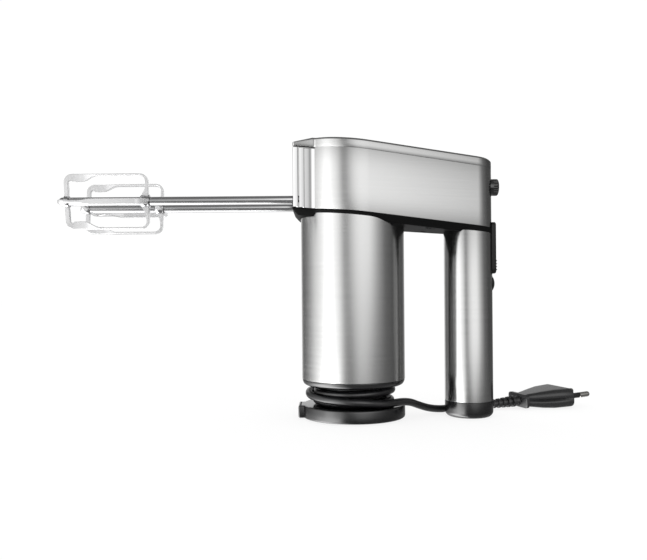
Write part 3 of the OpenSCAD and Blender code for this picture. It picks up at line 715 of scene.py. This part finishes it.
# The band: its section is swept round the outline, from one side of the nose to the other
section = [(0.3, 140.12), (0.05, 140.25), (0.0, 140.5), (0.0, 180.88), (0.03, 180.95), (0.12, 180.98),
           (1.1, 180.98), (1.2, 180.8), (1.2, 140.3), (1.1, 140.12)]
rows = [head_outline(inset) for inset, h in section]
band_loops = [[(row[k][0], row[k][1], h - row[k][0] * SLOPE) for row, (inset, h) in zip(rows, section)]
              for k in range(len(rows[0]))]
band = piece("head_band", *skin(band_loops), "housing", ["head_shell"], "brushed_steel", [brushed])
cut(band, *turned_x([(90, 6.1), (104, 6.1)], 0, EJECT_Z, 64))
underside = piece("underside", *head_loft([(8.0, 135.4), (4.9, 135.4), (4.35, 135.5), (3.9, 135.8),
                                           (0.75, 139.1), (0.45, 139.5), (0.4, 139.8), (0.4, 140.05)],
                                          41.5), "housing", ["underside_cover"], "black_plastic",
                  [dark_black], sharp=50)
# It is open for the motor tube with its drive, for the handle and for the two screws. Each opening
# has its X, Y, radius, top and the slope that its top follows.
OPENINGS = [
    (0, 0, 36.03, 160, 0), (HANDLE_X, 0, 15.8, 160, 0), (HANDLE_X, 0, 16.73, 136.58, SLOPE),
    (52.5, 14, 3.2, 132.2, 0), (52.5, -14, 3.2, 132.2, 0), (52.5, 14, 1.7, 160, 0),
    (52.5, -14, 1.7, 160, 0),
]
for cx, cy, r, top, tilt in OPENINGS:
    ring = arc(cx, cy, r, 0, 2 * math.pi, 96)[:-1]
    cut(underside, *skin([[(px, py, 100) for px, py in ring],
                          [(px, py, top - px * tilt) for px, py in ring]]), sharp=50)
piece("handle_collar", *lathe([(16.0, 136.6), (16.5, 136.66), (16.68, 136.9), (16.68, 139.9),
                               (16.0, 139.9)], HANDLE_X, 0, 128, top=100), "housing",
      ["underside_cover"], "black_plastic", [dark_black])


def mirrored(side):
    """A plan outline that is the same on both sides, from its +Y half, front to rear."""
    low = [(px, -py) for px, py in side]
    return low + side[::-1]


panel_side = soft([(-40.5, 0.5), (-40.5, 26.9), (-37.3, 27.95), (-36.9, 27.6), (-36.9, 20)], 0.7,
                  steps=5)
NOSE_LEVELS = [(1.0, 140.12), (0.3, 140.2), (0.0, 140.5), (0.0, 179.9), (0.3, 180.25), (1.0, 180.32)]
panel = piece("nose_plate", *stack(mirrored(panel_side), NOSE_LEVELS), "housing", ["nose_panel"],
              "polished_steel", [polished], sharp=28)
for side in (-1, 1):
    cut(panel, *turned_x([(-45, 4.75), (-30, 4.75)], side * BEATER_Y, BEATER_Z, 64), sharp=28)
# Behind the groove the nose's side runs on in a hollow curve that meets the round wall
hollow = [(-32.75 + 7.15 * k / 12, 26.4 + 1.6 * (k / 12) ** 4) for k in range(13)]
frame_side = soft([(-36.3, 0.5), (-36.3, 27.0), (-32.95, 27.95), *hollow], 0.25, steps=5)
nose = piece("nose_surround", *stack(mirrored(frame_side), NOSE_LEVELS), "housing", ["nose_frame"],
             "polished_steel", [polished], sharp=28)
for side in (-1, 1):
    cut(nose, *turned_x([(-45, 5.3), (-10, 5.3)], side * BEATER_Y, BEATER_Z, 64), sharp=28)
groove = [(-37.6, -25.8), (-26.5, -25.8), (-26.5, 25.8), (-37.6, 25.8)]
liner = piece("nose_liner", *stack(groove, [(0, 140.4), (0, 180.95)]), "housing", ["nose_frame"],
              "polished_steel", [polished])
for side in (-1, 1):
    cut(liner, *turned_x([(-45, 5.3), (-10, 5.3)], side * BEATER_Y, BEATER_Z, 48))


# ---- handle and controls ----

handle = piece("handle_skin", *lathe([(16.2, 11.15), (16.5, 11.12), (16.7, 11.35), (16.7, 136.2),
                                      (16.5, 136.55), (15.8, 136.55), (15.8, 11.3)], HANDLE_X, 0, 160,
                                     top=130, closed=True), "housing", ["handle_tube"],
               "brushed_steel", [brushed])
cut(handle, *skin([[(px, -3.2, 101), (px, 3.2, 101), (px, 3.2, 160), (px, -3.2, 160)]
                   for px in (90, 110)]))
cut(handle, *turned_x([(90, 5.6), (110, 5.6)], 0, TURBO_Z, 48))
piece("handle_cap", *lathe(soft([(8, 0.0), (14.4, 0.0), (16.7, 2.4), (16.7, 11.08), (15.9, 11.08),
                                 (15.9, 12.0), (8, 12.0)], 2.4, steps=8), HANDLE_X, 0, 144),
      "housing", ["handle_end_cap"], "black_plastic", [black])


def oblong(width, low, high, corner, steps=6):
    """A rounded rectangle in (Y, Z)."""
    return soft([(width / 2, low), (width / 2, high), (-width / 2, high), (-width / 2, low)], corner,
                True, steps)


outer = oblong(14, 99.5, 135.3, 3.2)
inner = oblong(6.7, 100.6, 132.8, 1.0)


def bent(py):
    """How far the handle's round surface falls back at this Y."""
    return HANDLE_R - math.sqrt(HANDLE_R ** 2 - py * py)


bezel_levels = [(outer, 0.2, 96.6, 0), (outer, 0.0, 97.2, 1), (outer, 0.0, 99.2, 1),
                (outer, 0.12, 99.6, 1), (outer, 0.5, 99.9, 1), (outer, 1.2, 100.15, 1),
                (inner, -0.5, 100.15, 1), (inner, -0.15, 100.02, 1), (inner, 0.0, 99.7, 1),
                (inner, 0.0, 99.25, 0), (inner, 0.9, 99.2, 0)]
loops = []
for outline, inset, px, follow in bezel_levels:
    loops.append([(px - follow * 0.55 * bent(py), py, pz) for py, pz in
                  (shrink(outline, inset) if inset else outline)])
piece("control_frame", *skin(loops), "housing", ["control_bezel"], "black_plastic", [control_black],
      sharp=40)
knob_profile = [(100.95, 99.4), (100.95, 100.3)]
for k in range(4):
    z0 = 101.7 + 2.05 * k
    knob_profile += [(z0, 100.35), (z0 + 0.25, 100.9), (z0 + 0.9, 100.9), (z0 + 1.15, 100.35)]
knob_profile += [(109.85, 100.3), (109.85, 99.4)]
# The knob's ends are rounded down to its foot, which stays clear of the frame's floor
knob_loops = [[(max(x - dx, 99.35), y, z) for z, x in knob_profile] for y, dx in
              ((-3.0, 0.35), (-2.7, 0.0), (2.7, 0.0), (3.0, 0.35))]
piece("speed_knob_cap", *skin(knob_loops), "speed_knob", ["speed_slider"], "grey_plastic", [grey],
      sharp=40)
dome = [(93.3, 1.5), (94.0, 1.5), (94.0, 6.3), (94.9, 6.3), (94.9, 5.25), (97.6, 5.25)]
dome += [(90.4 + 9.05 * math.cos(q), 9.05 * math.sin(q)) for q in
         (math.asin(5.2 / 9.05) * (1 - j / 9) for j in range(9))]
piece("turbo_cap", *turned_x(dome + [(99.45, 0.1)], 0, TURBO_Z, 72), "turbo", ["turbo_button"],
      "black_plastic", [control_black])
button_loops = []
for px, r, depth in ((92.3, 6.7, 0), (94.1, 6.7, 0), (94.2, 5.85, 0), (98.4, 5.85, 0), (98.6, 5.85, 1),
                     (101.4, 5.85, 1), (101.9, 5.6, 1), (102.2, 5.1, 0.4), (102.25, 4.6, 0),
                     (102.1, 4.2, 0), (101.9, 3.8, 0)):
    ring = []
    for k in range(144):
        a = 2 * math.pi * k / 144
        groove_here = 0.42 * depth * max(0.0, math.cos(18 * a)) ** 2
        ring.append((px, (r - groove_here) * math.cos(a), EJECT_Z + (r - groove_here) * math.sin(a)))
    button_loops.append(ring)


def spring(x0, x1, r, wire, turns, z):
    """A closed coil spring along X."""
    steps = turns * 24
    loops = []
    for i in range(steps + 1):
        a = 2 * math.pi * i / 24
        px = x0 + wire + (x1 - x0 - 2 * wire) * i / steps
        loops.append([(px + wire * math.sin(q), (r + wire * math.cos(q)) * math.cos(a),
                       z + (r + wire * math.cos(q)) * math.sin(a))
                      for q in (2 * math.pi * j / 10 for j in range(10))])
    return skin(loops)


for node, joint, shape, keep in (
        ("eject_spring", "eject_push", (63.1, 84.9, 3.3, 0.4, 9, EJECT_Z), 0.76),
        ("turbo_spring", "turbo_push", (91.6, 93.9, 2.6, 0.25, 3, TURBO_Z), 0.45)):
    coil = piece(f"{node}_wire", *spring(*shape), "housing", [node], "machined_steel", [machined], sharp=60)
    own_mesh(coil)
piece("eject_cap", *skin(button_loops), "ejector", ["eject_button"], "black_plastic", [black], sharp=40)


# ---- beaters ----

TIP_X = -193.7
REAR_X = -137.5
CAGE_R = 18.5


def tine_line():
    """Outer line of one tine in (X, radius), with the strip's depth and width along it."""
    corner = 5.5
    line = [(TIP_X, 3.0, 2.4, 3.4), (TIP_X, 7.0, 2.8, 3.0)]
    for k in range(9):
        a = math.pi / 2 * k / 8
        line.append((TIP_X + corner - corner * math.cos(a), CAGE_R - corner + corner * math.sin(a),
                     2.8 + 2.4 * k / 8, 2.8 - 0.9 * k / 8))
    line += [(TIP_X + 9.0, CAGE_R, 5.4, 1.7), (TIP_X + 13.5, CAGE_R, 5.2, 1.7),
             (TIP_X + 15.5, CAGE_R, 4.4, 2.0), (TIP_X + 18.5, CAGE_R, 2.6, 2.9),
             (TIP_X + 21.0, CAGE_R, 1.5, 3.7), (TIP_X + 23.0, CAGE_R, 1.25, 4.0)]
    line += [(REAR_X - corner - 4.0, CAGE_R, 1.25, 4.0)]
    for k in range(9):
        a = math.pi / 2 * (1 - k / 8)
        line.append((REAR_X - corner + corner * math.cos(a), CAGE_R - corner + corner * math.sin(a),
                     1.3 + 0.5 * k / 8, 4.0 - 0.6 * k / 8))
    line += [(REAR_X, 10.0, 1.9, 3.3), (REAR_X, 7.6, 2.4, 3.4), (REAR_X, 5.6, 3.8, 3.6),
             (REAR_X, 3.0, 4.6, 3.8)]
    return line


def tine(turn_deg, y0):
    """One closed, tapered strip at an angle about the beater's axis."""
    line = tine_line()
    loops = []
    for i, (px, r, depth, width) in enumerate(line):
        a, b = line[max(i - 1, 0)], line[min(i + 1, len(line) - 1)]
        tx, tr = unit2(b[0] - a[0], b[1] - a[1])
        if i < 2:
            tx, tr = 0.0, 1.0
        if i > len(line) - 5:
            tx, tr = 0.0, -1.0
        inward = (tr, -tx)
        half, edge = width / 2, min(0.3, width / 5)
        ring = []
        for d, w in ((0, -half + edge), (edge, -half), (depth - edge, -half), (depth, -half + edge),
                     (depth, half - edge), (depth - edge, half), (edge, half), (0, half - edge)):
            ring.append((px + inward[0] * d, r + inward[1] * d, w))
        loops.append(ring)
    points, faces = skin(loops)
    c, s = math.cos(math.radians(turn_deg)), math.sin(math.radians(turn_deg))
    return [(px, y0 + r * c - w * s, BEATER_Z + r * s + w * c) for px, r, w in points], faces


for name, side, phase in (("left", -1, 7.5), ("right", 1, -7.5)):
    y0 = side * BEATER_Y
    # The tines wear the chrome with its painted white reflection
    piece(f"beater_{name}_tines", *add(*[tine(phase + 90 * k, y0) for k in range(4)]), f"beater_{name}",
          [f"beater_{name}_cage"], "chrome", [tine_chrome_painted_white], sharp=40)
    rod = [(-197.9, 0.5), (-197.7, 1.3), (-197.2, 2.1), (-196.5, 2.65), (-195.5, 2.9), (-194.2, 2.9),
           (-193.75, 3.3), (-193.75, 4.1), (-192.2, 4.2), (-191.0, 3.9), (-190.8, 2.9),
           (-143.4, 2.9), (-142.6, 3.9), (-141.8, 4.4), (-139.2, 4.4), (-138.8, 4.15),
           (-137.4, 4.15), (-137.2, 4.4), (-136.8, 4.3), (-136.4, 2.9), (-60.0, 2.9), (-12.0, 2.9),
           (-10.1, 2.0)]
    wings = [[(px, y0 - 0.75, BEATER_Z - 3.4), (px, y0 + 0.75, BEATER_Z - 3.4),
              (px, y0 + 0.75, BEATER_Z + 3.4), (px, y0 - 0.75, BEATER_Z + 3.4)] for px in (-19, -12)]
    piece(f"beater_{name}_rod", *add(turned_x(rod, y0, BEATER_Z, 56), skin(wings)), f"beater_{name}",
          [f"beater_{name}_shaft"], "chrome", [chrome])
